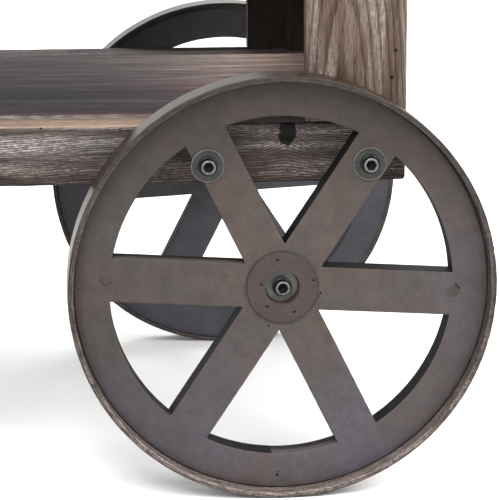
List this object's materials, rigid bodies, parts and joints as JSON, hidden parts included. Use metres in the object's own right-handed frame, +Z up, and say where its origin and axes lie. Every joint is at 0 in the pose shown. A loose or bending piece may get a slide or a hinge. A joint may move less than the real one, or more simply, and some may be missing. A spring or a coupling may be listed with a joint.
{
  "type": "push vending cart",
  "caption": "Boarded timber vending cart with a lower deck, counter and flat roof on corner posts, big spoked wheels on one axle, legs and a push handle.",
  "frame": {"origin": "on the floor, under the middle of the cart's overall box", "axes": "+Z up; +X towards the wheel end, the push handle is at -X; -Y is the front, the side with the serving opening"},
  "size_m": [1.184, 0.838, 1.8],
  "materials": {
    "rail_timber": "weathered brushed pine with raised grain",
    "frame_timber": "dark stained sawn softwood",
    "deck_timber": "dark stained worn boards",
    "post_timber": "weathered grey-brown pine",
    "panel_timber": "dark stained boards",
    "counter_timber": "worn stained boards",
    "roof_timber": "weathered boards",
    "handle_timber": "hand-worn turned wood",
    "wheel_paint": "dark metal-coloured paint on a cut wooden plate",
    "band_iron": "satin brown-black iron band",
    "hub_iron": "satin brown-black plate",
    "washer_steel": "dark grey-green steel",
    "screw_steel": "darkened zinc",
    "hex_steel": "darkened zinc",
    "axle_steel": "oiled dark steel",
    "bracket_iron": "black painted flat bar",
    "bush_bronze": "oiled bronze",
    "glide_plastic": "black"
  },
  "bodies": {
    "chassis": {"axle": "axle_steel", "axle_hanger_back": "bracket_iron", "axle_hanger_front": "bracket_iron", "batten_back_left": "frame_timber", "batten_back_right": "frame_timber", "batten_front_left": "frame_timber", "batten_front_right": "frame_timber", "bearer_left": "frame_timber", "bearer_middle": "frame_timber", "bearer_right": "frame_timber", "coach_screws": "hex_steel", "counter_board_1": "counter_timber", "counter_board_2": "counter_timber", "counter_board_3": "counter_timber", "counter_board_4": "counter_timber", "counter_rail_back": "counter_timber", "counter_rail_front": "counter_timber", "deck_board_1": "deck_timber", "deck_board_2": "deck_timber", "deck_board_3": "deck_timber", "deck_board_4": "deck_timber", "end_board_left_lower": "panel_timber", "end_board_left_upper": "panel_timber", "end_board_right_lower": "panel_timber", "end_board_right_upper": "panel_timber", "handle_bar": "handle_timber", "handle_bracket_back": "bracket_iron", "handle_bracket_front": "bracket_iron", "hub_screws": "screw_steel", "hub_washers": "washer_steel", "leg_back": "frame_timber", "leg_bolts": "hex_steel", "leg_front": "frame_timber", "leg_glides": "glide_plastic", "post_back_left": "post_timber", "post_back_right": "post_timber", "post_front_left": "post_timber", "post_front_right": "post_timber", "rail_back": "rail_timber", "rail_front": "rail_timber", "roof_board_1": "roof_timber", "roof_board_2": "roof_timber", "roof_board_3": "roof_timber", "roof_board_4": "roof_timber", "roof_rail_back": "roof_timber", "roof_rail_front": "roof_timber", "roof_rail_left": "roof_timber", "roof_rail_right": "roof_timber"},
    "wheel_front": {"wheel_plate_front": "wheel_paint", "tyre_band_front": "band_iron", "hub_disc_front": "hub_iron", "hub_bush_front": "bush_bronze", "spoke_screws_front": "screw_steel", "spoke_washers_front": "washer_steel"},
    "wheel_back": {"wheel_plate_back": "wheel_paint", "tyre_band_back": "band_iron", "hub_disc_back": "hub_iron", "hub_bush_back": "bush_bronze", "spoke_screws_back": "screw_steel", "spoke_washers_back": "washer_steel"}
  },
  "joints": [
    {"name": "front_wheel_spin", "type": "hinge", "parent": "chassis", "child": "wheel_front", "pos_m": [0.338, -0.3965, 0.254], "axis": [0, 1, 0], "continuous": true},
    {"name": "back_wheel_spin", "type": "hinge", "parent": "chassis", "child": "wheel_back", "pos_m": [0.338, 0.3965, 0.254], "axis": [0, 1, 0], "continuous": true}
  ]
}
